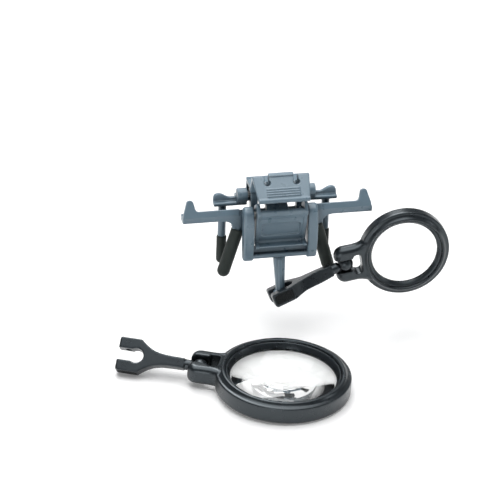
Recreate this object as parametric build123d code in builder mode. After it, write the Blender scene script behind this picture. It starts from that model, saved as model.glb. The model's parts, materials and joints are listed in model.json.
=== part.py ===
from build123d import *
import os
from math import cos, radians, sin, sqrt

os.makedirs("parts", exist_ok=True)

# Clip for eyeglasses with a swing-down loupe, and the larger loupe that is exchanged with it.
# Sizes are in millimetres and angles in degrees.
# The origin is the middle of the rim seat on the bar's underside; +Y faces the wearer, +Z is up.

# Fits
running_gap = 0.05
seat_gap = 0.02
overrun = 1.0

# Bar that lies across the rims
bar_half_span = 27.0
rail_front = -2.6
rail_back = 1.0
rail_height = 1.75
rail_round = 0.4
web_lean = 25
web_thick = 1.4
web_rise = 1.8
web_inner_x = 10.9
fin_width = 4.6
fin_rise = 5.1
fin_tip_radius = 1.05
fin_tip_inset = 2.2
fin_foot_rise = 1.0

# Front legs and their rubber sleeves
leg_front_y = -1.7
leg_start_x = 11.2
leg_start_z = -2.9
leg_splay = 16.0
front_peg_radius = 1.0
front_peg_length = 12.6
front_sleeve_radius = 1.8
front_sleeve_length = 15.4
sleeve_mouth_round = 0.3
gusset_thick = 2.2
gusset_inner_x = 8.4
gusset_curve_radius = 2.4

# Clamp hinge and its spring
hinge_y = 1.4
hinge_z = 6.2
clamp_pin_radius = 0.8
clamp_pin_half = 11.0
lug_radius = 1.75
lug_inner_x = 5.5
lug_outer_x = 7.5
lug_foot_length = 2.4
post_half = 3.1
post_height = 3.3
boss_height = 2.4
spring_wire = 0.6
spring_radius = 1.45
spring_turns = 3.5
spring_pitch = 1.05
coil_samples = 140

# Rear bar with its legs
rear_half_span = 17.6
rear_front = 0.9
rear_back = 3.4
rear_bottom = 2.9
rear_rail_height = 1.15
rear_web_thick = 1.0
rear_web_rise = 0.95
rear_fin_rise = 2.1
rear_dip_share = 0.25
rear_crest_share = 0.8
knuckle_radius = 1.8
knuckle_inner_x = 8.25
knuckle_width = 2.9
rear_wall_front = 3.75
rear_wall_thick = 1.3
rear_wall_top = 8.6
rear_wall_half = 7.9
rear_leg_inset = 2.8
rear_leg_y = 3.2
rear_neck_radius = 1.15
rear_neck_end_z = -7.4
rear_peg_radius = 0.8
rear_peg_length = 7.2
rear_sleeve_radius = 1.4
rear_sleeve_length = 8.8

# Squeeze lever, a bent plate over the hinge
lever_thick = 1.2
lever_front_y = -10.5
lever_front_z = 9.8
lever_apex_y = -3.6
lever_apex_z = 15.1
lever_rear_y = -1.1
lever_rear_z = 8.9
lever_front_half = 7.25
lever_apex_half = 8.1
lever_bead_radius = 0.7
lever_tab_half = 3.5
lever_notch_width = 1.25
lever_notch_depth = 3.0
lever_ear_drop = 0.9
keyhole_share = 0.75
grip_rib_count = 4
grip_rib_pitch = 0.72
grip_rib_half = 4.7
grip_rib_radius = 0.22
grip_rib_start = 1.5

# Cover plate in front of the hinge
cover_half = 7.2
cover_wall = 1.2
cover_rail_width = 0.9
cover_rail_proud = 0.3
cover_top = 5.7
cover_band_y = -8.6
cover_band_height = 1.6
cover_panel_top = 2.6
cover_panel_top_y = -7.7
cover_panel_bottom = -5.0
cover_panel_bottom_y = -5.8
cover_lip_y = -8.2
cover_bottom = -6.2
cover_rail_rise = 1.6
label_width = 11.0
label_height = 4.5
label_round = 1.0
label_depth = 0.35

# Flip-up yoke: cheeks, cross bar, pins
axle_y = -5.0
axle_z = 3.0
flip_pin_radius = 0.9
cheek_inner_x = 7.65
cheek_thick = 2.85
cheek_top_radius = 2.3
cheek_end_half = 1.5
cheek_end_y = -5.4
cheek_end_z = -11.0
cheek_bow = 16
cheek_end_round_share = 0.85
cheek_pin_depth = 2.2
cheek_back_step = 0.4
cheek_edge_round = 0.4
cheek_face_round = 0.7
cross_bar_front = -6.9
cross_bar_back = -3.9
cross_bar_top = -8.8
cross_bar_bottom = -10.3
cross_bar_round = 0.5
yoke_web_front = -5.6
yoke_web_thick = 1.2
yoke_web_top = -7.1

# Stalk with its foot plate
stalk_top_y = -5.4
stalk_lean = 17.6
stalk_length = 11.3
stalk_top_width = 3.4
stalk_mid_width = 2.2
stalk_thick = 2.4
stalk_rib = 0.4
stalk_rib_width = 1.1
spigot_radius = 0.8
spigot_length = 1.0
foot_radius = 1.75
foot_thick = 3.2
foot_pip_radius = 0.8
foot_pip_height = 0.45

# Arm: a fork that grips the foot plate, a neck and a pin for the pivot ball
arm_reach = 20.4
fork_half_width = 4.75
fork_slot = 3.4
fork_tip = 2.8
fork_root = 3.8
fork_thick = 3.8
fork_shoulder = 3.4
fork_root_bore = 2.1
fork_patch_depth = 0.3
fork_corner = 0.7
fork_flare_share = 0.9
patch_margin = 0.5
patch_length = 5.6
neck_half_width = 1.15
neck_half_height = 1.25
neck_length = 5.6
collar_radius = 1.05
collar_length = 2.4
arm_pin_radius = 0.65
arm_pin_length = 2.6

# Pivot ball, the same on both loupes
ball_radius = 2.2
ball_flat = 1.8
ball_neck_gap = 0.12
cup_gap = 0.05
ear_gap_half = 2.0
ear_thick = 3.5
ear_overhang = 3.0
ear_corner = 2.6
ear_side_round = 1.7
ear_rise = 0.3
ear_step = 0.25
ear_flare = 48
window_half = 3.0
window_round = 0.9

# Small loupe head, on the clip
small_ring_radius = 13.0
small_opening_radius = 9.5
small_ring_reach = 17.0
small_ring_height = 4.6
small_window_length = 2.3

# Large loupe head, the spare
large_ring_radius = 18.8
large_opening_radius = 14.7
large_ring_reach = 23.3
large_ring_height = 6.0
large_window_length = 3.0

# What both heads share
ring_wall = 1.7
shoulder_drop = 1.0
shoulder_round = 0.4
back_lip = 1.2
lens_edge = 1.4
lens_fit = 0.05
retainer_fit = 0.03
rim_round = 0.7
rim_step = 0.35
retainer_sink = 0.25
retainer_land = 0.45
lens_bulge_share = 0.068

# Where the mounted loupe stands
arm_rise = 21.5
head_rise = 9.0

# Where the spare loupe lies
table_z = -34.0
spare_x = -26.6
spare_y = -29.8
spare_heading = -22.1
spare_tilt = 1.6
spare_arm_heading = -23.0
spare_fork_twist = 45


def finish(piece, name):
    piece.label = name
    export_step(piece, f"parts/{name}.step")
    return piece


def side_plane(x):
    # Sketch axes are +Y and +Z; it stands at the given x
    return Plane(origin=(x, 0, 0), x_dir=(0, 1, 0), z_dir=(1, 0, 0))


def front_plane(y):
    # Sketch axes are +X and +Z; an extrusion goes towards -Y
    return Plane(origin=(0, y, 0), x_dir=(1, 0, 0), z_dir=(0, -1, 0))


def along(start, direction, side):
    # Sketch plane whose Y axis runs along a direction, for turned pieces
    return Plane(origin=start, x_dir=side, z_dir=Vector(side).cross(Vector(direction)))


# Lines that several pieces share
rail_depth = rail_back - rail_front
web_plane = Plane(
    origin=(0, rail_front, rail_height),
    x_dir=(1, 0, 0),
    z_dir=(0, -cos(radians(web_lean)), sin(radians(web_lean))),
)
hinge_axis = (hinge_y, hinge_z)
gusset_back = rail_front + gusset_thick
rear_leg_x = rear_half_span - rear_leg_inset
stem_lean = radians(stalk_lean)
stalk_plane = Plane(
    origin=(0, stalk_top_y, cross_bar_bottom),
    x_dir=(1, 0, 0),
    z_dir=(0, -sin(stem_lean), -cos(stem_lean)),
)
foot_plane = Plane(
    origin=stalk_plane.offset(stalk_length).origin,
    x_dir=(1, 0, 0),
    z_dir=(0, cos(stem_lean), -sin(stem_lean)),
)


cover_slope = (cover_panel_bottom_y - cover_panel_top_y) / (cover_panel_top - cover_panel_bottom)


def cover_front(z):
    # Front of the cover's leaning panel at a height
    return cover_panel_top_y + (cover_panel_top - z) * cover_slope


def cover_back(z):
    return cover_front(z) + cover_wall * sqrt(1 + cover_slope**2)


def leg_direction(side):
    return Vector(side * sin(radians(leg_splay)), 0, -cos(radians(leg_splay)))


def leg_start(side):
    return Vector(side * leg_start_x, leg_front_y, leg_start_z)


def leg_side(side):
    # Unit vector across a leg, pointing away from the middle
    return Vector(side * cos(radians(leg_splay)), 0, sin(radians(leg_splay)))


# Front bar: rail, leaning web with fins, gussets, front pegs, hinge lugs and middle boss
with BuildPart() as front_bar:
    with BuildSketch(side_plane(0)) as rail_section:
        with Locations((rail_front + rail_depth / 2, rail_height / 2)):
            RectangleRounded(rail_depth, rail_height, rail_round)
    extrude(amount=bar_half_span, both=True)
    fin_foot_x = bar_half_span - fin_width
    fin_tip_x = bar_half_span - fin_tip_inset
    with BuildSketch(web_plane):
        with BuildLine():
            outer_foot = (bar_half_span - rail_round / 2, fin_foot_rise)
            tip_outer = (fin_tip_x + fin_tip_radius, fin_rise - fin_tip_radius)
            tip_inner = (fin_tip_x - fin_tip_radius, fin_rise - fin_tip_radius)
            Polyline((web_inner_x, 0), (bar_half_span - rail_round / 2, 0), outer_foot, tip_outer)
            ThreePointArc(tip_outer, (fin_tip_x, fin_rise), tip_inner)
            Spline(
                tip_inner,
                (fin_foot_x, web_rise),
                tangents=[(-sin(radians(web_lean)), -1), (-1, 0)],
            )
            Polyline((fin_foot_x, web_rise), (web_inner_x, web_rise), (web_inner_x, 0))
        make_face()
    extrude(amount=-web_thick)
    right = leg_start(1)
    across = leg_side(1)
    lower_outer = right + across * front_sleeve_radius
    lower_inner = right - across * front_sleeve_radius
    curve_start_x = lower_outer.X + gusset_curve_radius
    with BuildSketch(front_plane(gusset_back)):
        with BuildLine():
            Spline(
                (curve_start_x, 0),
                (lower_outer.X, lower_outer.Z),
                tangents=[(-1, 0), (sin(radians(leg_splay)), -cos(radians(leg_splay)))],
            )
            Polyline(
                (lower_outer.X, lower_outer.Z),
                (lower_inner.X, lower_inner.Z),
                (gusset_inner_x, lower_inner.Z),
                (gusset_inner_x, rail_height / 2),
                (curve_start_x, rail_height / 2),
                (curve_start_x, 0),
            )
        make_face()
    extrude(amount=gusset_thick)
    with BuildSketch(Plane(origin=leg_start(1), z_dir=leg_direction(1)).offset(-overrun)):
        Circle(front_peg_radius)
    extrude(amount=overrun + front_peg_length)
    with BuildSketch(side_plane(lug_inner_x)):
        with BuildLine():
            CenterArc(hinge_axis, lug_radius, 0, 360)
            Polyline(
                (rail_back - rail_round, rail_height / 2),
                (rail_back - lug_foot_length, rail_height / 2),
                (rail_back - lug_foot_length, rail_height),
            )
        make_hull()
    extrude(amount=lug_outer_x - lug_inner_x)
    mirror(about=Plane.YZ)
    with BuildSketch(side_plane(0)):
        Polygon(
            (rail_back, rail_round),
            (hinge_y + spring_wire, post_height - spring_wire),
            (hinge_y + spring_wire, post_height),
            (rail_back - web_thick, post_height),
            (rail_front, boss_height),
            (cover_back(boss_height) + seat_gap, boss_height),
            (cover_back(rail_round) + seat_gap, rail_round),
            align=None,
        )
    extrude(amount=post_half, both=True)
    with BuildSketch(side_plane(0)):
        with Locations(hinge_axis):
            Circle(clamp_pin_radius + seat_gap)
    extrude(amount=lug_outer_x + overrun, both=True, mode=Mode.SUBTRACT)
finish(front_bar.part, "front_bar")


# Rubber sleeves push over the pegs and have a closed round end
def turned_sleeve(start, direction, side, radius, length, bore, bore_depth):
    plane = along(start, direction, side)
    with BuildPart() as sleeve:
        with BuildSketch(plane):
            with BuildLine():
                Polyline(
                    (bore, bore_depth),
                    (bore, 0),
                    (radius - sleeve_mouth_round, 0),
                    (radius, sleeve_mouth_round),
                    (radius, length - radius),
                )
                RadiusArc((radius, length - radius), (0, length), -radius)
                Polyline((0, length), (0, bore_depth), (bore, bore_depth))
            make_face()
        revolve(axis=Axis(start, direction))
    return sleeve.part


for side_name, side in (("left", -1), ("right", 1)):
    front_sleeve = turned_sleeve(
        leg_start(side),
        leg_direction(side),
        leg_side(side),
        front_sleeve_radius,
        front_sleeve_length,
        front_peg_radius + seat_gap,
        front_peg_length + seat_gap,
    )
    finish(front_sleeve, f"{side_name}_front_sleeve")
    rear_sleeve = turned_sleeve(
        Vector(side * rear_leg_x, rear_leg_y, rear_neck_end_z),
        Vector(0, 0, -1),
        Vector(side, 0, 0),
        rear_sleeve_radius,
        rear_sleeve_length,
        rear_peg_radius + seat_gap,
        rear_peg_length + seat_gap,
    )
    finish(rear_sleeve, f"{side_name}_rear_sleeve")

# Pin of the clamp hinge
with BuildPart() as clamp_pin:
    with BuildSketch(side_plane(0)):
        with Locations(hinge_axis):
            Circle(clamp_pin_radius)
    extrude(amount=clamp_pin_half, both=True)
finish(clamp_pin.part, "clamp_pin")

# Torsion spring round the pin, with one leg on the boss and one under the lever
spring_half = spring_pitch * spring_turns / 2
with BuildPart() as clamp_spring:
    with BuildLine() as coil_line:
        coil = Helix(
            spring_pitch,
            spring_pitch * spring_turns,
            spring_radius,
            center=(-spring_half, hinge_y, hinge_z),
            direction=(1, 0, 0),
        )
    with BuildSketch(Plane(origin=coil @ 0, z_dir=coil % 0)):
        Circle(spring_wire / 2)
    sweep(path=coil_line.line, is_frenet=True)
    with BuildSketch(Plane(origin=coil @ 0, z_dir=(0, 0, 1))):
        Circle(spring_wire / 2)
    extrude(amount=rear_wall_top - (coil @ 0).Z)
    with BuildSketch(Plane(origin=coil @ 1, z_dir=(0, 0, -1))):
        Circle(spring_wire / 2)
    extrude(amount=(coil @ 1).Z - post_height - seat_gap)
finish(clamp_spring.part, "clamp_spring")
coil_points = [coil @ (step / coil_samples) for step in range(coil_samples + 1)]
half_turn = int(coil_samples / spring_turns / 2)
coil_gap = min(
    (a - b).length for i, a in enumerate(coil_points) for b in coil_points[i + half_turn :]
)
print(f"least gap between the spring's turns {coil_gap - spring_wire:.2f} mm")

# Rear bar: rail, wavy web, knuckles, wall behind the hinge, necks and pegs of the rear legs
rear_rail_top = rear_bottom + rear_rail_height
knuckle_outer_x = knuckle_inner_x + knuckle_width
with BuildPart() as rear_bar:
    rear_depth = rear_back - rear_front
    rear_rail_length = rear_half_span - knuckle_inner_x
    with BuildSketch(side_plane(knuckle_inner_x)):
        with Locations((rear_front + rear_depth / 2, rear_bottom + rear_rail_height / 2)):
            RectangleRounded(rear_depth, rear_rail_height, rail_round)
    extrude(amount=rear_rail_length)
    web_start_x = knuckle_outer_x - rear_web_thick
    web_low = rear_rail_top + rear_web_rise
    web_high = rear_rail_top + rear_fin_rise
    with BuildSketch(front_plane(rear_back)):
        with BuildLine():
            Spline(
                (web_start_x, web_low),
                (knuckle_outer_x + rear_rail_length * rear_dip_share, web_low),
                (knuckle_inner_x + rear_rail_length * rear_crest_share, web_high),
                (rear_half_span, rear_rail_top + rear_web_rise / 2),
                tangents=[(1, 0), (0, -1)],
            )
            Polyline(
                (rear_half_span, rear_rail_top + rear_web_rise / 2),
                (rear_half_span, rear_rail_top - rear_rail_height / 2),
                (web_start_x, rear_rail_top - rear_rail_height / 2),
                (web_start_x, web_low),
            )
        make_face()
    extrude(amount=rear_web_thick)
    with BuildSketch(side_plane(knuckle_inner_x)):
        with BuildLine():
            CenterArc(hinge_axis, knuckle_radius, 0, 360)
            Polyline(
                (rear_back, rear_bottom + rear_rail_height / 2),
                (rear_front, rear_bottom + rear_rail_height / 2),
                (rear_front, rear_rail_top),
            )
        make_hull()
    extrude(amount=knuckle_width)
    with BuildSketch(Plane.XY.offset(rear_bottom + rear_rail_height / 2)):
        with Locations((rear_leg_x, rear_leg_y)):
            Circle(rear_neck_radius)
    extrude(amount=-(rear_bottom + rear_rail_height / 2 - rear_neck_end_z))
    with BuildSketch(Plane.XY.offset(rear_neck_end_z)):
        with Locations((rear_leg_x, rear_leg_y)):
            Circle(rear_peg_radius)
    extrude(amount=-rear_peg_length)
    mirror(about=Plane.YZ)
    wall_height = rear_wall_top - rear_bottom
    with BuildSketch(side_plane(0)):
        with Locations((rear_wall_front + rear_wall_thick / 2, rear_bottom + wall_height / 2)):
            RectangleRounded(rear_wall_thick, wall_height, rail_round)
    extrude(amount=rear_wall_half, both=True)
    spine_front = rear_back - rail_round
    spine_depth = rear_wall_front + rear_wall_thick - spine_front
    spine_height = rear_rail_height + rear_web_rise
    with BuildSketch(side_plane(0)):
        with Locations((spine_front + spine_depth / 2, rear_bottom + spine_height / 2)):
            RectangleRounded(spine_depth, spine_height, rail_round)
    extrude(amount=knuckle_outer_x, both=True)
    with BuildSketch(side_plane(0)):
        with Locations(hinge_axis):
            Circle(clamp_pin_radius + running_gap)
    extrude(amount=clamp_pin_half + running_gap, both=True, mode=Mode.SUBTRACT)
finish(rear_bar.part, "rear_bar")


# Squeeze lever: two plates that meet at the apex, with a notched top, a beaded edge and grip ribs
lever_apex = (0, lever_apex_y, lever_apex_z)
front_run = Vector(0, lever_front_y - lever_apex_y, lever_front_z - lever_apex_z)
rear_run = Vector(0, lever_rear_y - lever_apex_y, lever_rear_z - lever_apex_z)
front_plate_plane = Plane(origin=lever_apex, x_dir=(-1, 0, 0), z_dir=front_run.cross(Vector(1, 0, 0)))
rear_plate_plane = Plane(origin=lever_apex, x_dir=(1, 0, 0), z_dir=Vector(1, 0, 0).cross(rear_run))


def lever_plate(plane, length, half_at_foot):
    # Outline with its Y axis down the plate; the tab stands above the two ears
    notch_x = lever_tab_half + lever_notch_width / 2
    with BuildPart() as plate:
        with BuildSketch(plane):
            Polygon(
                (-half_at_foot, length),
                (-lever_apex_half, lever_ear_drop),
                (-notch_x, lever_ear_drop),
                (-notch_x, 0),
                (notch_x, 0),
                (notch_x, lever_ear_drop),
                (lever_apex_half, lever_ear_drop),
                (half_at_foot, length),
                align=None,
            )
            notch_length = lever_notch_depth + overrun
            for side in (-1, 1):
                with Locations((side * notch_x, lever_notch_depth - notch_length / 2)):
                    Rectangle(lever_notch_width, notch_length, mode=Mode.SUBTRACT)
                with Locations((side * notch_x, lever_notch_depth)):
                    Circle(lever_notch_width * keyhole_share, mode=Mode.SUBTRACT)
        extrude(amount=-lever_thick)
    return plate.part


with BuildPart() as squeeze_lever:
    add(lever_plate(front_plate_plane, front_run.length, lever_front_half))
    add(lever_plate(rear_plate_plane, rear_run.length, lever_apex_half))
    with BuildSketch(side_plane(0)):
        with Locations((lever_front_y + lever_bead_radius / 2, lever_front_z)):
            Circle(lever_bead_radius)
    extrude(amount=lever_front_half, both=True)
    for rib in range(grip_rib_count):
        rib_down = front_run.length - grip_rib_start - rib * grip_rib_pitch
        rib_point = Vector(lever_apex) + front_run.normalized() * rib_down
        with BuildSketch(side_plane(0)):
            with Locations((rib_point.Y, rib_point.Z)):
                Circle(grip_rib_radius)
        extrude(amount=grip_rib_half, both=True)
    flange_front = lever_rear_y - lever_thick
    flange_back = rear_wall_front + rear_wall_thick
    with BuildSketch(side_plane(0)):
        with Locations(((flange_front + flange_back) / 2, rear_wall_top + seat_gap + lever_thick / 2)):
            RectangleRounded(flange_back - flange_front, lever_thick, rail_round)
    extrude(amount=rear_wall_half, both=True)
finish(squeeze_lever.part, "squeeze_lever")

# Cover plate: rounded band, leaning panel with a bare recess, flared lip and two side walls
axle = (axle_y, axle_z)
with BuildPart() as cover_plate:
    band_bottom = cover_top - cover_band_height
    lip_top = cover_panel_bottom - cover_rail_proud
    with BuildSketch(side_plane(0)):
        with BuildLine():
            crown_back = (cover_band_y + cover_wall, cover_top - cover_wall / 2)
            crown_mid = (cover_band_y + cover_wall / 2, cover_top)
            crown_front = (cover_band_y, cover_top - cover_wall / 2)
            ThreePointArc(crown_back, crown_mid, crown_front)
            lip_mid = (cover_panel_bottom + cover_bottom) / 2
            lip_front = (cover_lip_y, lip_mid - cover_rail_proud)
            Polyline(
                crown_front,
                (cover_band_y, band_bottom),
                (cover_panel_top_y, cover_panel_top),
                (cover_panel_bottom_y, cover_panel_bottom),
            )
            Spline(
                (cover_panel_bottom_y, cover_panel_bottom),
                lip_front,
                tangents=[(0, -1), (-1, -1)],
            )
            Polyline(
                lip_front,
                (cover_lip_y + cover_rail_proud, cover_bottom),
                (cover_lip_y + cover_wall, cover_bottom),
                (cover_back(cover_panel_bottom), cover_panel_bottom),
                (cover_back(cover_panel_top), cover_panel_top),
                (cover_band_y + cover_wall, band_bottom),
                crown_back,
            )
        make_face()
    extrude(amount=cover_half - cover_rail_width / 2, both=True)
    rail_top = cover_top + cover_rail_rise
    for side in (-1, 1):
        inner = side * (cover_half - cover_rail_width)
        with BuildSketch(side_plane(inner)):
            Polygon(
                (rail_front - seat_gap, rail_height),
                (axle_y + cheek_top_radius / 2, axle_z + cheek_top_radius),
                (cover_band_y + cover_wall + cover_rail_width, rail_top),
                (cover_band_y + cover_rail_width, rail_top),
                (cover_band_y - cover_rail_proud, cover_top - cover_wall / 2),
                (cover_band_y - cover_rail_proud, band_bottom),
                (cover_panel_top_y - cover_rail_proud, cover_panel_top),
                (cover_panel_bottom_y - cover_rail_proud, cover_panel_bottom),
                (cover_lip_y - cover_rail_proud, lip_mid),
                (cover_lip_y - cover_rail_proud / 2, cover_bottom),
                (cover_panel_bottom_y + cover_wall, cover_bottom),
                (rail_front - seat_gap, -rail_height),
                align=None,
            )
        extrude(amount=side * cover_rail_width)
        with BuildSketch(side_plane(inner)):
            with Locations(axle):
                Circle(flip_pin_radius + cover_wall / 2)
        extrude(amount=-side * cover_wall / 2)
    panel_mid = (cover_panel_top + cover_panel_bottom) / 2
    panel_plane = Plane(
        origin=(0, cover_front(panel_mid), panel_mid),
        x_dir=(1, 0, 0),
        z_dir=(0, -1, -cover_slope),
    )
    with BuildSketch(panel_plane):
        RectangleRounded(label_width, label_height, label_round)
    extrude(amount=-label_depth, mode=Mode.SUBTRACT)
    with BuildSketch(side_plane(0)):
        with Locations(axle):
            Circle(flip_pin_radius + seat_gap)
    extrude(amount=cover_half + overrun, both=True, mode=Mode.SUBTRACT)
finish(cover_plate.part, "cover_plate")

# Two pins that carry the yoke, one in each side wall of the cover
pin_inner_x = cover_half - cover_rail_width - cover_wall / 2
pin_outer_x = cheek_inner_x + cheek_pin_depth
with BuildPart() as flip_pins:
    for side in (-1, 1):
        with BuildSketch(side_plane(side * pin_inner_x)):
            with Locations(axle):
                Circle(flip_pin_radius)
        extrude(amount=side * (pin_outer_x - pin_inner_x))
finish(flip_pins.part, "flip_pins")

# Flip-up yoke: two bowed cheeks joined by a cross bar below the cover
with BuildPart() as flip_yoke:
    with BuildSketch(side_plane(cheek_inner_x)) as cheek_outline:
        with BuildLine():
            bow = radians(cheek_bow)
            top_back = (axle_y + cheek_top_radius, axle_z)
            top_front = (axle_y - cheek_top_radius * cos(bow), axle_z + cheek_top_radius * sin(bow))
            end_front = (cheek_end_y - cheek_end_half, cheek_end_z)
            end_back = (cheek_end_y + cheek_end_half, cheek_end_z)
            ThreePointArc(top_back, (axle_y, axle_z + cheek_top_radius), top_front)
            TangentArc(top_front, end_front, tangent=(-sin(bow), -cos(bow)))
            Polyline(end_front, end_back, (end_back[0] + cheek_back_step, axle_z - cheek_top_radius), top_back)
        make_face()
        fillet(cheek_outline.vertices().group_by(Axis.Y)[0], cheek_end_half * cheek_end_round_share)
    extrude(amount=cheek_thick)
    fillet(flip_yoke.faces().sort_by(Axis.X)[-1].edges(), cheek_face_round)
    fillet(flip_yoke.faces().sort_by(Axis.X)[0].edges(), cheek_edge_round)
    mirror(about=Plane.YZ)
    bar_depth = cross_bar_back - cross_bar_front
    bar_height = cross_bar_top - cross_bar_bottom
    with BuildSketch(side_plane(0)):
        with Locations((cross_bar_front + bar_depth / 2, cross_bar_bottom + bar_height / 2)):
            RectangleRounded(bar_depth, bar_height, cross_bar_round)
    extrude(amount=cheek_inner_x + cheek_thick / 2, both=True)
    web_height = yoke_web_top - cross_bar_bottom - bar_height / 2
    with BuildSketch(side_plane(0)):
        with Locations((yoke_web_front + yoke_web_thick / 2, yoke_web_top - web_height / 2)):
            Rectangle(yoke_web_thick, web_height)
    extrude(amount=cheek_inner_x + cheek_thick / 2, both=True)
    with BuildSketch(side_plane(0)):
        with Locations(axle):
            Circle(flip_pin_radius + running_gap)
    extrude(amount=pin_outer_x + running_gap, both=True, mode=Mode.SUBTRACT)
    with BuildSketch(stalk_plane.offset(overrun)):
        Circle(spigot_radius + seat_gap)
    extrude(amount=-overrun - spigot_length - seat_gap, mode=Mode.SUBTRACT)
finish(flip_yoke.part, "flip_yoke")

# Stalk: a tapered stem with a spigot above and a round foot plate below
with BuildPart() as stalk:
    stalk_top = (0, stalk_top_y, cross_bar_bottom - seat_gap)
    with BuildSketch(Plane(origin=stalk_top, x_dir=(1, 0, 0), z_dir=(0, 0, -1))):
        RectangleRounded(stalk_top_width, stalk_thick, cross_bar_round)
    with BuildSketch(stalk_plane.offset(stalk_length - foot_radius / 2)):
        RectangleRounded(stalk_mid_width, stalk_thick, cross_bar_round)
    loft()
    with BuildSketch(stalk_plane.offset(-spigot_length)):
        Circle(spigot_radius)
    extrude(amount=spigot_length + overrun)
    with BuildSketch(stalk_plane.offset(overrun)):
        with Locations((0, stalk_thick / 2)):
            Rectangle(stalk_rib_width, 2 * stalk_rib)
    extrude(amount=stalk_length - foot_radius / 2 - overrun)
    with BuildSketch(foot_plane):
        Circle(foot_radius)
    extrude(amount=foot_thick / 2, both=True)
    with BuildSketch(foot_plane):
        Circle(foot_pip_radius)
    extrude(amount=foot_thick / 2 + foot_pip_height, both=True)
finish(stalk.part, "stalk")


# An arm lies along -X from the ball, which is at its local origin; the fork spreads along Y
def make_arm():
    pivot = -arm_reach
    tip = pivot - fork_tip
    shoulder = pivot + fork_shoulder
    neck_end = -ball_flat - ball_neck_gap
    neck_start = neck_end - neck_length
    block_end = neck_end - collar_length
    with BuildPart() as arm:
        with BuildSketch(Plane.XY):
            with BuildLine():
                Polyline((block_end, 0), (tip, 0), (tip, fork_half_width - fork_corner))
                RadiusArc(
                    (tip, fork_half_width - fork_corner),
                    (tip + fork_corner, fork_half_width),
                    fork_corner,
                )
                Line((tip + fork_corner, fork_half_width), (shoulder, fork_half_width))
                Spline(
                    (shoulder, fork_half_width),
                    (neck_start, neck_half_width),
                    tangents=[(1, -fork_flare_share), (1, 0)],
                )
                Polyline(
                    (neck_start, neck_half_width), (block_end, neck_half_width), (block_end, 0)
                )
            make_face()
            mirror(about=Plane.XZ)
        extrude(amount=fork_thick / 2, both=True)
        with BuildSketch(Plane.XZ):
            with BuildLine():
                Polyline((block_end, 0), (tip, 0), (tip, fork_thick / 2 - fork_corner))
                RadiusArc(
                    (tip, fork_thick / 2 - fork_corner),
                    (tip + fork_corner, fork_thick / 2),
                    fork_corner,
                )
                Polyline(
                    (tip + fork_corner, fork_thick / 2),
                    (shoulder, fork_thick / 2),
                    (block_end, neck_half_height),
                    (block_end, 0),
                )
            make_face()
            mirror(about=Plane.XZ)
        extrude(amount=fork_half_width, both=True, mode=Mode.INTERSECT)
        with BuildSketch(Plane.XY):
            with Locations((tip + fork_root / 2, 0)):
                Rectangle(fork_root + fork_tip, fork_slot)
            with Locations((pivot + fork_root - fork_tip / 2, 0)):
                Circle(fork_root_bore)
        extrude(amount=fork_thick, both=True, mode=Mode.SUBTRACT)
        for side in (-1, 1):
            with BuildSketch(Plane.XZ.offset(side * fork_half_width)):
                with Locations((tip + patch_margin + patch_length / 2, 0)):
                    RectangleRounded(patch_length, fork_thick - 2 * patch_margin, fork_corner)
            extrude(amount=-side * fork_patch_depth, mode=Mode.SUBTRACT)
        with BuildSketch(Plane.XZ):
            with Locations((pivot, 0)):
                Circle(foot_pip_radius + running_gap)
        extrude(amount=fork_slot / 2 + foot_pip_height + running_gap, both=True, mode=Mode.SUBTRACT)
        with BuildSketch(Plane.YZ.offset(block_end - overrun)):
            Circle(collar_radius)
        extrude(amount=collar_length + overrun)
        with BuildSketch(Plane.YZ.offset(neck_end - overrun)):
            Circle(arm_pin_radius)
        extrude(amount=arm_pin_length + overrun)
    return arm.part


# The pivot ball turns on the arm's pin and swings between the ears of the head
def make_ball():
    with BuildPart() as ball:
        Sphere(ball_radius)
        with BuildSketch(Plane.YZ.offset(-ball_flat)):
            Rectangle(2 * ball_radius, 2 * ball_radius)
        extrude(amount=-ball_radius, mode=Mode.SUBTRACT)
        with BuildSketch(Plane.YZ.offset(-ball_flat)):
            Circle(arm_pin_radius + running_gap)
        extrude(amount=arm_pin_length - ball_neck_gap + running_gap, mode=Mode.SUBTRACT)
    return ball.part


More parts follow.
